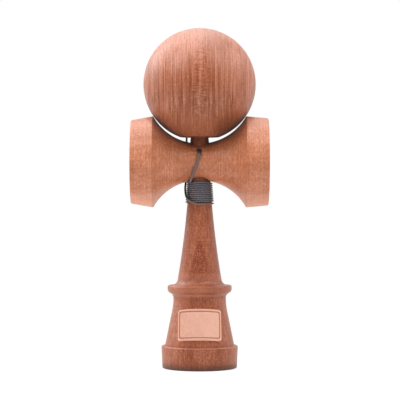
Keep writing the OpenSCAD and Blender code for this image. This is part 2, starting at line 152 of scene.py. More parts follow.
# Centre of the wound string after some turns: a falling helix that follows the grip,
# whose first turns rise at the front and back into the saddle of the cross piece and whose last one sags
def woundPoints(turns):
    angle = np.radians(stringLook["startAngle"] - 360 * turns)
    z = stringLook["topZ"] - stringLook["pitch"] * turns
    z = z + stringLook["arch"] * np.sin(angle)**2 * np.exp(-turns / stringLook["archFade"])
    z = z - stringLook["sag"] * np.interp(turns, stringLook["sagTurns"], (0, 1))
    radius = gripRadius(z) + stringLook["woundGap"] + stringLook["woundHeight"] / 2
    return np.stack([radius * np.cos(angle), radius * np.sin(angle), z], axis=1)


# Control rows of the string: place, the side that faces away from the wood, and the half width and height
def cordRows(places, outward, width, height):
    places = np.asarray(places, dtype=float)
    sizes = np.empty((len(places), 2))
    sizes[:, 0] = np.asarray(width) / 2
    sizes[:, 1] = height / 2
    return np.hstack([places, np.broadcast_to(outward, places.shape), sizes])


def awayFromHandle(places):
    return unit(np.asarray(places, dtype=float) * [1, 1, 0])


def awayFromWaist(places):
    return unit((np.asarray(places, dtype=float) - [0, 0, crossPieceZ]) * [0, 1, 1])


# A braided tube: at each row an ellipse across the path, whose radius swells where either of two
# crossing sets of helical strands comes to the surface. Its UV is the length along it and the share of a
# turn round it
def braidedTube(name, rows, at):
    heading = unit(np.gradient(rows[:, :3], axis=0))
    outward = rows[:, 3:6]
    outward = unit(outward - heading * np.sum(outward * heading, axis=1, keepdims=True))
    side = np.cross(heading, outward)
    sides = stringLook["sides"]
    turn = 2 * np.pi * np.arange(sides) / sides
    lay = 2 * np.pi * at[:, None] / stringLook["braidLay"]
    strand = stringLook["braidStrands"] * turn[None, :]
    swell = 1 + stringLook["braidDepth"] * np.maximum(np.cos(strand + lay), np.cos(strand - lay))
    across = (rows[:, 6:7] * np.cos(turn) * swell)[:, :, None] * side[:, None, :]
    upwards = (rows[:, 7:8] * np.sin(turn) * swell)[:, :, None] * outward[:, None, :]
    points = (rows[:, None, :3] + across + upwards).reshape(-1, 3)
    walls = ringFaces(len(rows), sides)
    startCap = list(range(sides))
    endCap = list(range(len(points) - 1, len(points) - 1 - sides, -1))
    i, j = np.divmod(np.arange(len(walls)), sides)
    along = np.stack([at[i], at[i + 1], at[i + 1], at[i]], axis=1)
    around = np.stack([j, j, j + 1, j + 1], axis=1) / sides
    capUv = np.vstack([np.tile([end, 0], (sides, 1)) for end in (at[0], at[-1])])
    cornerUv = np.vstack([np.stack([along, around], axis=-1).reshape(-1, 2), capUv])
    return makePiece(name, points, walls.tolist() + [startCap, endCap], cornerUv)


# A short braided tube along a smooth curve through control rows
def shortTube(name, rows):
    return braidedTube(name, *evenRows(smoothCurve(rows, stringLook["shortSteps"]), stringLook["ringStep"]))


turnSteps = np.arange(0, stringLook["turns"], 1 / stringLook["pointsPerTurn"])
wound = woundPoints(np.append(turnSteps[:-1], stringLook["turns"]))
lowTurns = [point for point in backRoute if point[2] < stringLook["loopZ"]]
freeRise = [point for point in backRoute if point[2] >= stringLook["loopZ"]] + [topEntry]
overBall = [point[2] > stringLook["overBallZ"] for point in freeRise]
freeWidths = np.where(overBall, stringLook["overBallWidth"], stringLook["width"])
frontTop = frontRoute[:stringLook["frontTopPoints"]]
frontFoot = frontRoute[stringLook["frontTopPoints"]:]
frontWidths = np.linspace(stringLook["frontWidth"], stringLook["frontFootWidth"], len(frontRoute))
cordControls = np.vstack([
    cordRows([anchorKnotTop, frontExit], [0, 0, 1], stringLook["width"], stringLook["width"]),
    cordRows(frontTop, awayFromWaist(frontTop), frontWidths[:len(frontTop)], stringLook["frontHeight"]),
    cordRows(frontFoot, unit(awayFromWaist(frontFoot) + awayFromHandle(frontFoot)),
             frontWidths[len(frontTop):], stringLook["frontHeight"]),
    cordRows(wound, awayFromHandle(wound), stringLook["woundWidth"], stringLook["woundHeight"]),
    cordRows(lowTurns, awayFromHandle(lowTurns), stringLook["width"], stringLook["woundHeight"]),
    cordRows(freeRise, [-1, 0, 0], freeWidths, stringLook["width"]),
])
cordPath, cordLengths = evenRows(smoothCurve(cordControls, stringLook["longSteps"]), stringLook["ringStep"])
cord = braidedTube("string", cordPath, cordLengths)


# Length along the string at its row nearest to a place
def lengthAt(place):
    return float(cordLengths[np.argmin(np.linalg.norm(cordPath[:, :3] - place, axis=1))])


lastTurnAt = lengthAt(woundPoints(np.array(stringLook["sagTurns"]))[1])
loopAt = lengthAt(backRoute[stringLook["loopPoint"]])
roundSize = (stringLook["width"], stringLook["width"])
ballPlaces = np.linspace(topEntry, beadKnotTop, stringLook["ballPoints"])
ballString = shortTube("ball_string", cordRows(ballPlaces, [-1, 0, 0], *roundSize))
print("string made,", round(cordLengths[-1]), "mm")

# Knots: the string runs down a core, comes out at the foot and winds back up round itself
knotLook = {
    "turns": 2.9, "turnRadius": 1.15, "startAngle": 0.6, "footZ": -2.2, "headZ": -0.56, "pointsPerTurn": 16,
    "coreHeights": (0, -1.26, -2.1), "offAxis": (0.001, 0, 0),  # gives the core's points an outward side
}


# Points of the knot below its top: the core on the axis, then a helix that climbs at an even rate
def knotPoints():
    core = np.array([[0, 0, z] for z in knotLook["coreHeights"]])
    share = np.linspace(0, 1, int(knotLook["turns"] * knotLook["pointsPerTurn"]))
    angle = 2 * np.pi * knotLook["turns"] * share + knotLook["startAngle"]
    z = knotLook["footZ"] + (knotLook["headZ"] - knotLook["footZ"]) * share
    radius = knotLook["turnRadius"]
    return np.vstack([core, np.stack([radius * np.cos(angle), radius * np.sin(angle), z], axis=1)])


knotShape = knotPoints()
knotRows = cordRows(knotShape, awayFromHandle(knotShape + knotLook["offAxis"]), *roundSize)


# The knot's rows moved to a top, with its places and outward sides turned by a choice of columns and signs
def placedKnot(top, columns, signs):
    places, outward = (knotRows[:, start:start + 3][:, columns] * signs for start in (0, 3))
    return np.hstack([top + places, outward, knotRows[:, 6:]])


beadKnot = shortTube("string_knot_bead", placedKnot(beadKnotTop, [0, 1, 2], [1, 1, 1]))
anchorKnot = shortTube("string_knot_anchor", placedKnot(anchorKnotTop, [0, 2, 1], [1, -1, 1]))

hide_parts("string_anchor_run", "string_front_run", "string_winding", "string_back_run")
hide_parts("string_tama_run")
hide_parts("bead_knot")
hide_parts("anchor_knot")
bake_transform(cord)
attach(ballString, "bead")
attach(beadKnot, "bead")
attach(anchorKnot, "ken")
stringPieces = [cord, ballString, beadKnot, anchorKnot]

# Leather patch: a flat rounded rectangle bent round the cone of the skirt, sizes in millimetres
patchLook = {
    "halfWidth": 12.2, "halfHeight": 8.45, "corner": 1.3, "lowZ": 16.05, "thickness": 1.08, "gap": 0.05,
    "edgeRound": 0.75, "grooveInset": 1.45, "grooveHalf": 0.3, "grooveDepth": 0.3, "rimRise": 0.1,
    "skirtFoot": (18.65, 12.1), "skirtSlope": 0.2059, "mergeWithin": 0.001,
    "sidePoints": 70, "endPoints": 48, "cornerPoints": 14, "topRows": 90, "underRows": 10, "evenShare": 0.22,
}


# A rounded rectangle at an inset from the patch's edge: four corner arcs joined by straight sides.
# All loops have the same number of points, and the innermost one closes to a line along the middle
def patchLoop(inset):
    look = patchLook
    halfW = look["halfWidth"] - inset
    halfH = look["halfHeight"] - inset
    radius = look["corner"] * (1 - inset / look["halfHeight"])
    corners = [(1, 1, 0), (-1, 1, 90), (-1, -1, 180), (1, -1, 270)]
    turn = np.radians(np.linspace(0, 90, look["cornerPoints"]))
    counts = [look["sidePoints"], look["endPoints"]] * 2
    arcs = []
    for signX, signY, start in corners:
        angle = turn + np.radians(start)
        middle = np.array([signX * (halfW - radius), signY * (halfH - radius)])
        arcs.append(middle + radius * np.stack([np.cos(angle), np.sin(angle)], axis=1))
    loop = []
    for arc, nextArc, count in zip(arcs, arcs[1:] + arcs[:1], counts):
        share = np.linspace(0, 1, count)[1:-1, None]
        loop += [arc, arc[-1] + (nextArc[0] - arc[-1]) * share]
    return np.vstack(loop)


# How near an inset is to the middle of the pressed groove: a bell curve
def pressAt(inset):
    return np.exp(-((inset - patchLook["grooveInset"]) / patchLook["grooveHalf"])**2)


# Height of the leather over the wood at an inset: a quarter ellipse at the edge, less a pressed groove,
# plus a soft swelling of the rim outside the groove, all let down by the height of the swelling
def patchHeight(inset):
    look = patchLook
    rising = 1 - np.clip(inset / look["edgeRound"], 0, 1)
    body = look["thickness"] * np.sqrt(1 - rising**2)
    rim = look["rimRise"] * np.exp(-((inset - look["edgeRound"]) / look["edgeRound"])**2)
    return body - look["grooveDepth"] * pressAt(inset) + rim * (1 - rising) - look["rimRise"]


# Places flat leather points on the skirt: the cone is unrolled, so a point's distance from the cone's tip
# and its angle there give its height and its turn round the handle
def bendOnSkirt(flat, height):
    look = patchLook
    footR, footZ = look["skirtFoot"]
    lean = np.arctan(look["skirtSlope"])
    lowR = footR - look["skirtSlope"] * (look["lowZ"] - footZ)
    slant = lowR / np.sin(lean)
    upwards = slant - (flat[..., 1] + look["halfHeight"])
    distance = np.hypot(upwards, flat[..., 0])
    turn = np.arctan2(flat[..., 0], upwards) / np.sin(lean)
    radius = distance * np.sin(lean) + height * np.cos(lean)
    z = look["lowZ"] + (slant - distance) * np.cos(lean) + height * np.sin(lean)
    return np.stack([radius * np.sin(turn), -radius * np.cos(turn), z], axis=-1)


# The loops run outwards under the patch's back, then inwards over its front, where they lie closest together
# at the edge
share = np.linspace(0, 1, patchLook["topRows"])
spread = patchLook["evenShare"] * share + (1 - patchLook["evenShare"]) * share**3
topInsets = patchLook["halfHeight"] * spread
underInsets = np.linspace(patchLook["halfHeight"], 0, patchLook["underRows"])
insets = np.concatenate([underInsets, topInsets[1:]])
onBack = np.arange(len(insets)) < len(underInsets)
heights = np.where(onBack, 0, patchHeight(insets)) + patchLook["gap"]
patchGrid = bendOnSkirt(np.stack([patchLoop(inset) for inset in insets]), heights[:, None])
patchFaces = ringFaces(len(insets), patchGrid.shape[1])
patch = makePiece("leather_patch_formed", patchGrid.reshape(-1, 3), patchFaces.tolist())
marks = {
    "groove": np.where(onBack, 0, pressAt(insets)),
    "edge": np.where(onBack, 1, np.exp(-insets / patchLook["edgeRound"])),
}
for name, rowValues in marks.items():
    attribute = patch.data.attributes.new(name, "FLOAT", "POINT")
    attribute.data.foreach_set("value", np.repeat(rowValues, patchGrid.shape[1]))
shape = bmesh.new()
shape.from_mesh(patch.data)
bmesh.ops.remove_doubles(shape, verts=shape.verts, dist=patchLook["mergeWithin"] * mm)
bmesh.ops.recalc_face_normals(shape, faces=shape.faces)
shape.to_mesh(patch.data)
shape.free()
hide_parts("leather_patch")
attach(patch, "ken")
print("leather patch formed,", len(patch.data.polygons), "faces")


# A colour as seen on a screen, from 0 to 255, as the linear colour that a shader takes
def fromScreen(red, green, blue):
    level = np.array([red, green, blue]) / 255
    linear = np.where(level <= 0.04045, level / 12.92, ((level + 0.055) / 1.055)**2.4)
    return (*linear.tolist(), 1)


# A new material, its node tree and its shader
def startMaterial(name):
    material = bpy.data.materials.new(name)
    material.use_nodes = True
    tree = material.node_tree
    return material, tree, tree.nodes["Principled BSDF"]


# A node with its settings, whose inputs are values or other nodes' outputs
def addNode(tree, kind, inputs=None, **settings):
    node = tree.nodes.new(kind)
    for name, value in settings.items():
        setattr(node, name, value)
    for key, value in (inputs or {}).items():
        if isinstance(value, bpy.types.NodeSocket):
            tree.links.new(value, node.inputs[key])
        else:
            node.inputs[key].default_value = value
    return node


def doMath(tree, operation, first, second=0.0, third=0.0):
    return addNode(tree, "ShaderNodeMath", {0: first, 1: second, 2: third}, operation=operation).outputs[0]


def multiply(tree, first, second):
    return doMath(tree, "MULTIPLY", first, second)


# A value times a weight, plus the rest
def weigh(tree, value, weight, rest):
    return doMath(tree, "MULTIPLY_ADD", value, weight, rest)


def scaleVector(tree, vector, scale):
    return addNode(tree, "ShaderNodeVectorMath", {0: vector, 1: scale}, operation="MULTIPLY").outputs[0]


def splitVector(tree, vector):
    return addNode(tree, "ShaderNodeSeparateXYZ", {"Vector": vector}).outputs


def objectPlace(tree):
    return addNode(tree, "ShaderNodeTexCoord").outputs["Object"]


# Distance of a vector from a place in millimetres
def distanceTo(tree, vector, place):
    inputs = {0: vector, 1: [mm * side for side in place]}
    return addNode(tree, "ShaderNodeVectorMath", inputs, operation="DISTANCE").outputs["Value"]


def addNoise(tree, vector, detail, roughness, scale=1.0):
    inputs = {"Vector": vector, "Scale": scale, "Detail": detail, "Roughness": roughness}
    return addNode(tree, "ShaderNodeTexNoise", inputs).outputs["Fac"]


def addLineNoise(tree, value, detail, roughness, scale):
    inputs = {"W": value, "Scale": scale, "Detail": detail, "Roughness": roughness}
    return addNode(tree, "ShaderNodeTexNoise", inputs, noise_dimensions="1D").outputs["Fac"]


# A value moved from one span to another and held at its ends
def remap(tree, value, low, high, toLow, toHigh, kind="LINEAR"):
    inputs = {"Value": value, "From Min": low, "From Max": high, "To Min": toLow, "To Max": toHigh}
    return addNode(tree, "ShaderNodeMapRange", inputs, interpolation_type=kind).outputs["Result"]


# The same with soft ends
def smoothRemap(tree, value, *spans):
    return remap(tree, value, *spans, kind="SMOOTHSTEP")


# A share of a screen colour mixed into a node's colour
def mixColour(tree, share, first, second):
    inputs = {0: share, 6: first, 7: fromScreen(*second)}
    return addNode(tree, "ShaderNodeMix", inputs, data_type="RGBA").outputs[2]


def colourRamp(tree, value, places, colours):
    node = addNode(tree, "ShaderNodeValToRGB", {"Fac": value})
    while len(node.color_ramp.elements) < len(places):
        node.color_ramp.elements.new(0.5)
    for element, place, colour in zip(node.color_ramp.elements, places, colours):
        element.position = place
        element.color = fromScreen(*colour)
    return node.outputs["Color"]


noiseSpan = (0.3, 0.7)  # where most values of a noise lie


# Roughness that swings with a noise
def unevenGloss(tree, noise, roughness, swing):
    return remap(tree, noise, *noiseSpan, roughness + swing[0], roughness + swing[1])


def addBump(tree, shader, height, strength, depth):
    bump = addNode(tree, "ShaderNodeBump", {"Height": height, "Strength": strength, "Distance": depth * mm})
    tree.links.new(bump.outputs["Normal"], shader.inputs["Normal"])


# What all the wood has in common: detail and roughness of each noise, pores, gloss and relief
woodLook = {
    "noises": {"band": (3, 0.62), "ring": (3, 0.7), "warp": (2, 0.5), "streak": (4, 0.6), "fibre": (3, 0.6),
               "mottle": (3, 0.5), "ripple": (2, 0.5), "fleck": (2, 0.6)},
    "warpScale": (0.045, 0.045, 0.012), "ringScale": 1.3, "stops": (0.2, 0.42, 0.58, 0.8),
    "slabEdge": (0.5, 1.5), "poreCore": (0.1, 0.34), "poreKept": (0.12, 0.5), "poreInBands": -0.5,
    "glossSwing": (-0.05, 0.07), "poreDull": 0.2, "ior": 1.47,
    "poreRelief": -1.0, "fibreRelief": 0.5, "bump": 0.6, "bumpDepth": 0.06,
}
# Colours of painted shade and painted light that are mixed into the wood
paintedLightColours = {
    "shade": (46, 19, 10), "seat": (58, 24, 12), "deepShade": (22, 9, 5), "waistShade": (30, 13, 8),
    "hole": (22, 10, 6), "paleHighlight": (190, 126, 101), "lightFromBelow": (226, 182, 162), "topHighlight": (135, 93, 73),
}
seat = {"ballZ": 152.32, "ballR": 30.2, "gap": 1.0, "ridgeHeights": (134, 140)}


# A slab of paler or darker wood across x, in millimetres: its middle, half its thickness, its tone,
# the heights over which it comes in and goes out, and how strongly ripples cross it
def slab(middle, half, tone, comesIn, goesOut, waves=0):
    return {"middle": middle, "half": half, "tone": tone, "waves": waves, "heights": (comesIn, goesOut)}


# A mark of painted shade, or of painted light, near the ball, the waist, a height or a place, in
# millimetres:
# it has its full share up to the first length of its span and ends at the second
def paintedLight(near, span, share, colour, dull=0.0, at=None):
    colour = paintedLightColours[colour]
    return {"near": near, "span": span, "share": share, "colour": colour, "dull": dull, "at": at}


# Share of a slab in the wood: smooth steps of the distance from its middle plane, inside its heights
def slabShare(tree, coordinates, look):
    x, _, z = splitVector(tree, coordinates)
    away = doMath(tree, "ABSOLUTE", doMath(tree, "SUBTRACT", x, look["middle"] * mm))
    edge = [share * look["half"] * mm for share in woodLook["slabEdge"]]
    inside = smoothRemap(tree, away, *edge, 1, 0)
    comesIn, goesOut = ([mm * height for height in span] for span in look["heights"])
    window = multiply(tree, smoothRemap(tree, z, *comesIn, 0, 1), smoothRemap(tree, z, *goesOut, 1, 0))
    return multiply(tree, inside, window)


# Distance from what a mark of painted shade or light is near. The waist is measured from the cross piece's
# axis less the waist's radius there, which is the resting ball's circle moved down by the seat's gap, and is
# far away over the ridges
def paintedLightDistance(tree, coordinates, look):
    x, _, z = splitVector(tree, coordinates)
    if look["near"] == "height":
        return doMath(tree, "ABSOLUTE", doMath(tree, "SUBTRACT", z, look["at"] * mm))
    if look["near"] == "place":
        return distanceTo(tree, coordinates, look["at"])
    if look["near"] == "ball":
        away = distanceTo(tree, coordinates, (0, 0, seat["ballZ"]))
        return doMath(tree, "ABSOLUTE", doMath(tree, "SUBTRACT", away, seat["ballR"] * mm))
    fromAxis = distanceTo(tree, scaleVector(tree, coordinates, (0, 1, 1)), (0, 0, crossPieceZ))
    circle = doMath(tree, "SQRT", doMath(tree, "SUBTRACT", (seat["ballR"] * mm)**2, multiply(tree, x, x)))
    radius = doMath(tree, "SUBTRACT", (seat["ballZ"] - crossPieceZ - seat["gap"]) * mm, circle)
    overRidges = remap(tree, z, *[mm * height for height in seat["ridgeHeights"]], 0, look["span"][1] * mm)
    return doMath(tree, "ADD", doMath(tree, "SUBTRACT", fromAxis, radius), overRidges)


# Darker, speckled wood inside one growth layer, which the handle's taper cuts to a pointed arch and which
# fades out below
def archTone(tree, layers, w, noises, look):
    edge = weigh(tree, noises["streak"], look["ragged"], layers)
    inside = smoothRemap(tree, edge, look["from"], look["to"], 0, 1)
    inside = multiply(tree, inside, smoothRemap(tree, w, *look["fade"], 0, 1))
    speckle = weigh(tree, noises["fleck"], look["speckle"], -look["dark"] - 0.5 * look["speckle"])
    return multiply(tree, inside, speckle)


# Slim cells drawn out along the fibre, of which the darker growth bands keep more
def poreShare(tree, wood, bands, scale):
    inputs = {"Vector": scaleVector(tree, wood, scale), "Scale": 1.0, "Randomness": 1.0}
    cells = addNode(tree, "ShaderNodeTexVoronoi", inputs).outputs
    core = smoothRemap(tree, cells["Distance"], *woodLook["poreCore"], 1, 0)
    dice = addNode(tree, "ShaderNodeSeparateColor", {"Color": cells["Color"]}).outputs[0]
    kept = remap(tree, weigh(tree, bands, woodLook["poreInBands"], dice), *woodLook["poreKept"], 0, 1)
    return multiply(tree, core, kept)


# Oiled wood. In the wood's own millimetres, u runs across the growth layers, v along them and w up the
# fibre. Tone is a half plus weighted noises, each less its middle: growth bands in u, streaks and fine fibre
# drawn out along w, slow mottling, short ripples across the fibre, flecks and turning rings. Slabs, some of
# which are painted light and painted shade, and the arch are added to it, and a calm stretch draws it to its
# middle. Pores, and marks of painted shade and painted light, then tint the colour that the tone gives
def woodMaterial(name, look):
    material, tree, shader = startMaterial(name)
    coordinates = objectPlace(tree)
    inputs = {"Vector": coordinates, "Location": look["shift"], "Rotation": look["turn"],
              "Scale": (1 / mm, 1 / mm, 1 / mm)}
    wood = addNode(tree, "ShaderNodeMapping", inputs).outputs["Vector"]
    u, _, w = splitVector(tree, wood)
    kinds = woodLook["noises"]
    warp = addNoise(tree, scaleVector(tree, wood, woodLook["warpScale"]), *kinds["warp"])
    tilted = weigh(tree, w, look["tilt"], u)
    layers = weigh(tree, warp, look["warp"], tilted)
    lathe = multiply(tree, splitVector(tree, coordinates)[look["latheAxis"]], 1 / mm)
    noises = {kind: addNoise(tree, scaleVector(tree, wood, scale), *kinds[kind])
              for kind, scale in look["scales"].items()}
    noises["band"] = addLineNoise(tree, layers, *kinds["band"], 1 / look["bandWidth"])
    noises["ring"] = addLineNoise(tree, lathe, *kinds["ring"], woodLook["ringScale"])
    tone = 0.5 - 0.5 * sum(look["shares"].values())
    for kind, weight in look["shares"].items():
        tone = weigh(tree, noises[kind], weight, tone)
    for part in look["slabs"]:
        swing = weigh(tree, noises["ripple"], part["waves"], part["tone"] - 0.5 * part["waves"])
        tone = weigh(tree, slabShare(tree, coordinates, part), swing, tone)
    if "arch" in look:
        tone = doMath(tree, "ADD", tone, archTone(tree, tilted, w, noises, look["arch"]))
    if "calm" in look:
        low, high = look["calm"]["heights"]
        height = splitVector(tree, coordinates)["Z"]
        lively = smoothRemap(tree, height, low * mm, high * mm, look["calm"]["share"], 1)
        tone = weigh(tree, doMath(tree, "SUBTRACT", tone, 0.5), lively, 0.5)
    colour = colourRamp(tree, tone, woodLook["stops"], look["colours"])
    pores = poreShare(tree, wood, noises["band"], look["poreScale"])
    poreTint = multiply(tree, pores, look["poreDark"])
    colour = mixColour(tree, poreTint, colour, look["poreColour"])
    gloss = unevenGloss(tree, noises["fibre"], look["roughness"], woodLook["glossSwing"])
    gloss = weigh(tree, pores, woodLook["poreDull"], gloss)
    # Marks of painted shade and painted light, each also made rougher by its dull share
    for mark in look["paintedLights"]:
        low, high = (mm * length for length in mark["span"])
        paintedShare = smoothRemap(tree, paintedLightDistance(tree, coordinates, mark), low, high, 1, 0)
        colour = mixColour(tree, multiply(tree, paintedShare, mark["share"]), colour, mark["colour"])
        gloss = weigh(tree, paintedShare, mark["dull"], gloss)
    tree.links.new(colour, shader.inputs["Base Color"])
    tree.links.new(gloss, shader.inputs["Roughness"])
    relief = multiply(tree, noises["fibre"], woodLook["fibreRelief"])
    relief = weigh(tree, pores, woodLook["poreRelief"], relief)
    relief = weigh(tree, noises["ring"], look["ringRelief"], relief)
    addBump(tree, shader, relief, woodLook["bump"], woodLook["bumpDepth"])
    shader.inputs["IOR"].default_value = woodLook["ior"]
    shader.inputs["Sheen Weight"].default_value = look["sheen"]
    shader.inputs["Sheen Roughness"].default_value = look["sheenRoughness"]
    return material


# Painted shade where the resting ball shades the cross piece and the spike's root, darkest at the seat's
# edge
paintedSeatShade = [paintedLight("ball", (0.8, 6.5), 0.42, "seat", 0.45), paintedLight("ball", (0.9, 1.8), 0.7, "deepShade", 0.1)]

# Ball: fine upright grain with a rippled pale column at the front, painted shade low down, on the lower
# right and near the waist, painted light on the left and a greyer painted highlight at the top
ballWood = {
    "turn": (0, 0, 0), "shift": (3, 40, 12), "latheAxis": 2,
    "warp": 1.2, "tilt": 0.006, "bandWidth": 1.1,
    "scales": {"streak": (1.6, 0.05, 0.01), "fibre": (2.0, 0.2, 0.05), "fleck": (1.3, 0.9, 1.0),
               "ripple": (0.3, 0.3, 1.0), "mottle": (0.11, 0.11, 0.05)},
    "shares": {"band": 0.3, "streak": 1.0, "fibre": 1.2, "mottle": 0.2, "fleck": 0.6},
    "slabs": [
        slab(0.2, 4.2, 0.02, (128, 142), (164, 176), waves=1.05),
        slab(-1, 3, 0.1, (148, 160), (178, 186)),
        slab(-6.3, 2.6, -0.06, (128, 136), (150, 160)),
        slab(6.7, 2.6, -0.06, (128, 136), (150, 160)),
        # Paler wood on the upper left, partly painted light where the lamps fall
        slab(-7, 6, 0.15, (152, 166), (176, 186)),
        slab(-19, 6, 0.13, (152, 166), (174, 186)),
        slab(9, 6, -0.07, (166, 174), (190, 200)),
        slab(17.4, 3.6, 0.2, (140, 152), (162, 172), waves=0.2),
        slab(26, 3, 0.1, (140, 152), (158, 168)),
        # Painted light on the lower left, and painted shade with some darker wood on the lower right
        slab(-18, 6, 0.08, (118, 124), (138, 146)),
        slab(16, 6, -0.28, (110, 118), (126, 138), waves=0.2),
    ],
    "calm": {"heights": (128, 142), "share": 0.55},
    "colours": ((113, 45, 10), (138, 70, 32), (153, 87, 56), (174, 112, 89)),
    "poreScale": (2.0, 2.0, 0.3), "poreDark": 0.5, "poreColour": (96, 36, 8),
    "ringRelief": 0.25, "roughness": 0.43, "sheen": 0.1, "sheenRoughness": 0.4,
    "paintedLights": [
        # Painted shade, darker towards the bottom of the ball
        paintedLight("height", (0.5, 18), 0.18, "shade", 0.45, at=122),
        # Painted highlight: the top of the ball is greyer where the light falls
        paintedLight("height", (3, 14), 0.3, "topHighlight", at=184),
        # Painted shade on the ball's lower right
        paintedLight("place", (3, 12), 0.22, "seat", 0.2, at=(13, -15, 129)),
        # Painted shade on the ball just above the waist
        paintedLight("waist", (1.0, 5.0), 0.7, "waistShade", 0.3),
    ],
}

# Cross piece: mottled wood with its fibre along x, paler on the bands, with painted light from below on its
# underside and painted shade under the ball, round the string's hole and under the right band
crossWood = {
    "turn": (0, -np.pi / 2, 0), "shift": (160, 60, 5), "latheAxis": 0,
    "warp": 6, "tilt": 0.02, "bandWidth": 5.5,
    "scales": {"streak": (1.3, 1.3, 0.25), "fibre": (1.8, 1.8, 0.7), "fleck": (0.55, 1.0, 1.5),
               "ripple": (0.5, 0.5, 0.9), "mottle": (0.11, 0.11, 0.05)},
    "shares": {"band": 0.25, "streak": 0.35, "fibre": 0.35, "mottle": 0.6, "ripple": 0.2, "ring": 0.45,
               "fleck": 0.8},
    "slabs": [
        slab(-32.5, 4.5, 0.08, (111, 113.5), (119, 122)),
        slab(-21, 6, 0.05, (97, 106), (126, 132)),
        slab(-5, 7, -0.09, (96, 100), (118, 124)),
        slab(12, 5, 0.05, (94, 98), (116, 122)),
        slab(32.5, 5, 0.1, (112, 114.5), (120, 123)),
        # Painted shade under the right band
        slab(31, 6, -0.12, (80, 84), (93, 98)),
    ],
    "colours": ((139, 72, 39), (163, 95, 60), (176, 108, 75), (195, 132, 103)),
    "poreScale": (0.6, 1.2, 1.7), "poreDark": 0.3, "poreColour": (118, 56, 30),
    "ringRelief": 0.5, "roughness": 0.43, "sheen": 0.06, "sheenRoughness": 0.4,
    "paintedLights": paintedSeatShade + [
        # Painted light from below, paler on the underside
        paintedLight("height", (3, 10), 0.2, "lightFromBelow", 0.1, at=88),
        # Painted shade round the string's hole
        paintedLight("place", (0.9, 2.5), 0.75, "hole", 0.1, at=(-0.4, -8.4, 117)),
    ],
}

# Handle: flecked wood with a dark pointed arch on the grip, painted highlights round the flange and painted
# shade at the foot, under the cross piece, above the string's last turn and round the spike's root
handleWood = {
    "turn": (0, 0, np.pi / 2), "shift": (0, 20, 60), "latheAxis": 2,
    "warp": 4, "tilt": 0.06, "bandWidth": 4.5,
    "scales": {"streak": (1.1, 1.1, 0.05), "fibre": (1.7, 1.7, 0.3), "fleck": (1.5, 1.5, 1.2),
               "ripple": (0.5, 0.5, 1.2), "mottle": (0.11, 0.11, 0.05)},
    "shares": {"band": 0.35, "streak": 0.55, "fibre": 0.55, "mottle": 0.4, "ripple": 0.3, "ring": 0.25,
               "fleck": 0.75},
    "slabs": [
        # Painted shade on the right of the flange
        slab(11, 7, -0.15, (37, 39), (46.5, 47.5)),
        slab(0, 6, -0.07, (31, 34), (38, 39)),
        slab(-14.8, 4, 0.08, (2, 6), (36, 40)),
    ],
    "arch": {"from": 16.5, "to": 17.1, "ragged": 0.6, "dark": 0.2, "speckle": 1.2, "fade": (104, 118)},
    "colours": ((109, 38, 6), (132, 63, 26), (147, 80, 49), (170, 106, 83)),
    "poreScale": (1.6, 1.6, 0.5), "poreDark": 0.4, "poreColour": (92, 32, 6),
    "ringRelief": 0.3, "roughness": 0.43, "sheen": 0.12, "sheenRoughness": 0.4,
    "paintedLights": [
        # Painted shade round the spike's root under the ball
        paintedSeatShade[0],
        # Painted shadow at the foot, where it stands on the floor
        paintedLight("height", (0, 5), 0.8, "shade", 0.1, at=0),
        # Painted highlights on the neck's top edge and round the flange
        paintedLight("height", (0.2, 1.1), 0.2, "paleHighlight", at=39.5),
        paintedLight("height", (0.4, 2.0), 0.22, "paleHighlight", at=42.5),
        paintedLight("height", (1.2, 3.2), 0.17, "paleHighlight", at=49),
        # Painted shade in the gap above the string's last turn
        paintedLight("height", (0.3, 0.9), 0.8, "deepShade", 0.1, at=88.9),
        # Painted shade on the handle just under the cross piece
        paintedLight("height", (2, 4), 0.42, "waistShade", 0.1, at=102.5),
    ],
}

# Bead: plain pale wood
beadWood = {
    "turn": (0, 0, 0.4), "shift": (20, 8, 0), "latheAxis": 2,
    "warp": 3, "tilt": 0.02, "bandWidth": 2,
    "scales": {"streak": (1.3, 1.3, 0.06), "fibre": (5.5, 5.5, 0.3), "mottle": (0.11, 0.11, 0.05)},
    "shares": {"band": 0.4, "streak": 0.5, "fibre": 0.4, "mottle": 0.2},
    "slabs": [],
    "colours": ((184, 138, 96), (206, 162, 118), (218, 178, 136), (230, 196, 158)),
    "poreScale": (4, 4, 0.6), "poreDark": 0.3, "poreColour": (140, 98, 62),
    "ringRelief": 0.3, "roughness": 0.4, "sheen": 0.1, "sheenRoughness": 0.45,
    "paintedLights": [],
}

# String's finish: colours from the painted shade of its flanks to its crown, the weights of its tone, where
# it has faded, where it is painted paler as light from below and where it is in painted shade, gloss and
# relief
stringFinish = {
    "colours": ((9, 9, 11), (92, 92, 101), (114, 112, 118)), "stops": (0.1, 0.75, 1.0),
    "fadedAndLitFromBelow": (100, 77, 66), "hole": (12, 8, 6), "shadeColour": (9, 9, 11),
    "base": -0.15, "weave": 0.06, "crown": 0.7, "yarn": 0.05, "fuzz": 0.35,
    "yarnsPerStrand": 5, "fuzzScale": (7, 24, 1), "fuzzNoise": (3, 0.5),
    "inFront": (-4, -6), "overWinding": (100.5, 102.5), "footStart": 4, "footEnd": 5,
    "fadeTones": (0.1, 0.6), "fadeShares": (0.6, 0.95), "holeZ": (114.3, 115.7), "holeShare": 0.9,
    "shadeX": (4.4, 6.4), "shadeZ": (103, 101), "shadeShare": 0.6,
    "roughness": 0.66, "glossSwing": (-0.08, 0.1), "sheen": 0.15,
    "yarnRelief": 0.25, "bump": 0.5, "bumpDepth": 0.05,
}
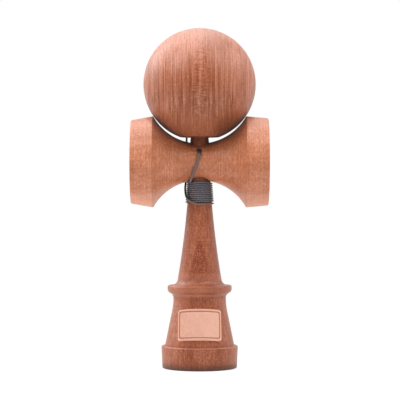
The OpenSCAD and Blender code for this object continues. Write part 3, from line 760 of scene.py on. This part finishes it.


# Braided string, on its own UV: u is millimetres along it and v the share of a turn round it. Two crossing
# helices mark the strands, fine lines along each strand mark its yarns, and the outward crown is paler while
# the flanks darken to painted shade. The ends of the turns are in painted shade, the stretch at the front
# has faded, the last turn is painted paler as light from below, and the string is in painted shade in its
# hole
def stringMaterial():
    look = stringFinish
    material, tree, shader = startMaterial("braided_string")
    uv = addNode(tree, "ShaderNodeUVMap", uv_map="cordUv").outputs["UV"]
    u, v, _ = splitVector(tree, uv)
    lay = multiply(tree, u, 2 * np.pi / stringLook["braidLay"])
    strand = multiply(tree, v, 2 * np.pi * stringLook["braidStrands"])
    risingTurn = doMath(tree, "ADD", strand, lay)
    fallingTurn = doMath(tree, "SUBTRACT", strand, lay)
    rising = doMath(tree, "COSINE", risingTurn)
    weave = doMath(tree, "MAXIMUM", rising, doMath(tree, "COSINE", fallingTurn))
    yarns = doMath(tree, "SINE", multiply(tree, risingTurn, look["yarnsPerStrand"]))
    fuzz = addNoise(tree, scaleVector(tree, uv, look["fuzzScale"]), *look["fuzzNoise"])
    # Outward crown paler, flanks darkened to painted shade
    crown = doMath(tree, "SINE", multiply(tree, v, 2 * np.pi))
    tone = look["base"]
    for share, weight in ((weave, "weave"), (crown, "crown"), (yarns, "yarn"), (fuzz, "fuzz")):
        tone = weigh(tree, share, look[weight], tone)
    colour = colourRamp(tree, tone, look["stops"], look["colours"])
    x, y, z = splitVector(tree, scaleVector(tree, objectPlace(tree), (1 / mm, 1 / mm, 1 / mm)))
    # Painted shade at the left and right ends of the turns
    sideways = smoothRemap(tree, doMath(tree, "ABSOLUTE", x), *look["shadeX"], 0, look["shadeShare"])
    shaded = multiply(tree, sideways, smoothRemap(tree, z, *look["shadeZ"], 0, 1))
    colour = mixColour(tree, shaded, colour, look["shadeColour"])
    inFront = smoothRemap(tree, y, *look["inFront"], 0, 1)
    front = multiply(tree, smoothRemap(tree, z, *look["overWinding"], 0, 1), inFront)
    # The last turn is painted paler, as light from below
    footStart = smoothRemap(tree, u, lastTurnAt, lastTurnAt + look["footStart"], 0, 1)
    footEnd = smoothRemap(tree, u, loopAt - look["footEnd"], loopAt, 1, 0)
    fadedAndLitFromBelow = doMath(tree, "MAXIMUM", front, multiply(tree, footStart, footEnd))
    fadedAndLitFromBelow = multiply(tree, fadedAndLitFromBelow, remap(tree, tone, *look["fadeTones"], *look["fadeShares"]))
    colour = mixColour(tree, fadedAndLitFromBelow, colour, look["fadedAndLitFromBelow"])
    # Painted shade on the string inside its hole
    inHole = multiply(tree, smoothRemap(tree, z, *look["holeZ"], 0, look["holeShare"]), inFront)
    colour = mixColour(tree, inHole, colour, look["hole"])
    tree.links.new(colour, shader.inputs["Base Color"])
    gloss = unevenGloss(tree, fuzz, look["roughness"], look["glossSwing"])
    tree.links.new(gloss, shader.inputs["Roughness"])
    relief = weigh(tree, yarns, look["yarnRelief"], weave)
    addBump(tree, shader, relief, look["bump"], look["bumpDepth"])
    shader.inputs["Sheen Weight"].default_value = look["sheen"]
    return material


# Leather's finish: colours from deep to pale, the weights of its tone, its grain, gloss and relief
leatherFinish = {
    "colours": ((195, 143, 122), (208, 158, 138), (216, 168, 147)), "stops": (0.36, 0.5, 0.66),
    "groove": (140, 78, 58), "grooveShare": 0.9, "edge": (226, 179, 158), "edgeShare": 0.7,
    "base": 0.25, "clouds": 0.15, "crumple": 0.35, "fade": 0.01,
    "crumpleNoise": (3, 0.6, 0.9), "cloudNoise": (2, 0.5, 0.22),
    "pebbleScale": 3.4, "pebbleRise": (0.0, 0.22), "pebbleDark": 0.25,
    "roughness": 0.6, "glossSwing": (-0.06, 0.1), "specular": 0.3,
    "crumpleRelief": 0.8, "bump": 0.5, "bumpDepth": 0.06,
}


# Vegetable-tanned leather: fine pebbled cells and creases, painted light that makes it paler towards +x,
# with a darker pressed groove and a paler rubbed edge
def leatherMaterial():
    look = leatherFinish
    material, tree, shader = startMaterial("patch_leather_grain")
    skin = scaleVector(tree, objectPlace(tree), (1 / mm, 1 / mm, 1 / mm))
    crumple = addNoise(tree, skin, *look["crumpleNoise"])
    clouds = addNoise(tree, skin, *look["cloudNoise"])
    inputs = {"Vector": skin, "Scale": look["pebbleScale"]}
    cells = addNode(tree, "ShaderNodeTexVoronoi", inputs, feature="DISTANCE_TO_EDGE")
    pebble = smoothRemap(tree, cells.outputs["Distance"], *look["pebbleRise"], 0, 1)
    tone = look["base"]
    x = splitVector(tree, skin)["X"]
    # Painted light: the tone rises towards +x
    for share, weight in ((clouds, "clouds"), (crumple, "crumple"), (x, "fade")):
        tone = weigh(tree, share, look[weight], tone)
    colour = colourRamp(tree, tone, look["stops"], look["colours"])
    betweenPebbles = remap(tree, pebble, 0, 1, look["pebbleDark"], 0)
    colour = mixColour(tree, betweenPebbles, colour, look["colours"][0])
    for mark in ("edge", "groove"):
        marked = addNode(tree, "ShaderNodeAttribute", attribute_name=mark).outputs["Fac"]
        colour = mixColour(tree, multiply(tree, marked, look[mark + "Share"]), colour, look[mark])
    tree.links.new(colour, shader.inputs["Base Color"])
    gloss = unevenGloss(tree, crumple, look["roughness"], look["glossSwing"])
    tree.links.new(gloss, shader.inputs["Roughness"])
    relief = weigh(tree, crumple, look["crumpleRelief"], pebble)
    addBump(tree, shader, relief, look["bump"], look["bumpDepth"])
    shader.inputs["Specular IOR Level"].default_value = look["specular"]
    return material


def dress(piece, material):
    piece.data.materials.clear()
    piece.data.materials.append(material)


dress(nodes["tama"], woodMaterial("ball_wood", ballWood))
dress(nodes["sarado"], woodMaterial("cross_piece_wood", crossWood))
dress(nodes["ken"], woodMaterial("handle_wood", handleWood))
dress(nodes["bead"], woodMaterial("bead_wood_pale", beadWood))
braidedString = stringMaterial()
for piece in stringPieces:
    dress(piece, braidedString)
dress(patch, leatherMaterial())
print("materials set")

# Studio: a white floor that keeps a faint shadow, a dim surround that the camera sees as white, soft lamps
studioLook = {
    "floorSize": 4.0, "floorColour": (0.9, 0.9, 0.9, 1), "floorRoughness": 0.9, "floorSpecular": 0.1,
    "floorShown": 0.88, "floorRing": (0.05, 0.28),
    "white": (1, 1, 1, 1), "ambient": 0.02, "aim": (0, 0, 0.11),
    "lamps": {
        "overhead": {"place": (0.0, 0.0, 1.1), "power": 12.6, "size": 1.0},
        "highLeft": {"place": (-0.7, -0.5, 0.95), "power": 7.8, "size": 0.6},
        "highRight": {"place": (0.7, -0.5, 0.95), "power": 6.4, "size": 0.6},
        "backLeft": {"place": (-0.77, 0.45, 0.8), "power": 9.4, "size": 0.8},
        "backRight": {"place": (0.8, 0.2, 0.8), "power": 3.4, "size": 0.6},
        "highBack": {"place": (0.0, 0.65, 0.95), "power": 2.2, "size": 0.7},
        "lowLeft": {"place": (-1.05, 0.25, 0.35), "power": 1.9, "size": 0.7},
        "lowRight": {"place": (1.05, 0.25, 0.35), "power": 1.0, "size": 0.7},
    },
}


# 1 for a ray that shows a surface as it is seen, directly, in a gloss or through glass
def seenDirectly(tree):
    path = addNode(tree, "ShaderNodeLightPath").outputs
    most = doMath(tree, "MAXIMUM", path["Is Camera Ray"], path["Is Glossy Ray"])
    return doMath(tree, "MAXIMUM", most, path["Is Transmission Ray"])


half = studioLook["floorSize"] / 2
floorMesh = bpy.data.meshes.new("floor")
floorCorners = [(-half, -half, 0), (half, -half, 0), (half, half, 0), (-half, half, 0)]
floorMesh.from_pydata(floorCorners, [], [(0, 1, 2, 3)])
floor = bpy.data.objects.new("floor", floorMesh)
scene.collection.objects.link(floor)
floorMaterial, tree, shader = startMaterial("floor_white")
shader.inputs["Base Color"].default_value = studioLook["floorColour"]
shader.inputs["Roughness"].default_value = studioLook["floorRoughness"]
shader.inputs["Specular IOR Level"].default_value = studioLook["floorSpecular"]
glow = addNode(tree, "ShaderNodeEmission", {"Color": studioLook["white"], "Strength": 1.0})
fromMiddle = distanceTo(tree, objectPlace(tree), (0, 0, 0))
shownShare = smoothRemap(tree, fromMiddle, *studioLook["floorRing"], studioLook["floorShown"], 1)
shown = multiply(tree, seenDirectly(tree), shownShare)
mixed = addNode(tree, "ShaderNodeMixShader", {0: shown, 1: shader.outputs[0], 2: glow.outputs[0]})
tree.links.new(mixed.outputs[0], tree.nodes["Material Output"].inputs["Surface"])
floorMesh.materials.append(floorMaterial)

world = bpy.data.worlds.new("studio")
world.use_nodes = True
scene.world = world
tree = world.node_tree
dim = tree.nodes["Background"]
dim.inputs["Color"].default_value = studioLook["white"]
dim.inputs["Strength"].default_value = studioLook["ambient"]
white = addNode(tree, "ShaderNodeBackground", {"Color": studioLook["white"], "Strength": 1.0})
mixed = addNode(tree, "ShaderNodeMixShader", {0: seenDirectly(tree), 1: dim.outputs[0], 2: white.outputs[0]})
tree.links.new(mixed.outputs[0], tree.nodes["World Output"].inputs["Surface"])

for name, lamp in studioLook["lamps"].items():
    lampData = bpy.data.lights.new(name, "AREA")
    lampData.energy = lamp["power"]
    lampData.size = lamp["size"]
    lampObject = bpy.data.objects.new(name, lampData)
    lampObject.location = lamp["place"]
    towards = np.array(studioLook["aim"]) - lamp["place"]
    pitch = np.arctan2(np.hypot(towards[0], towards[1]), -towards[2])
    lampObject.rotation_euler = (pitch, 0, np.arctan2(-towards[0], towards[1]))
    scene.collection.objects.link(lampObject)
print("studio set")
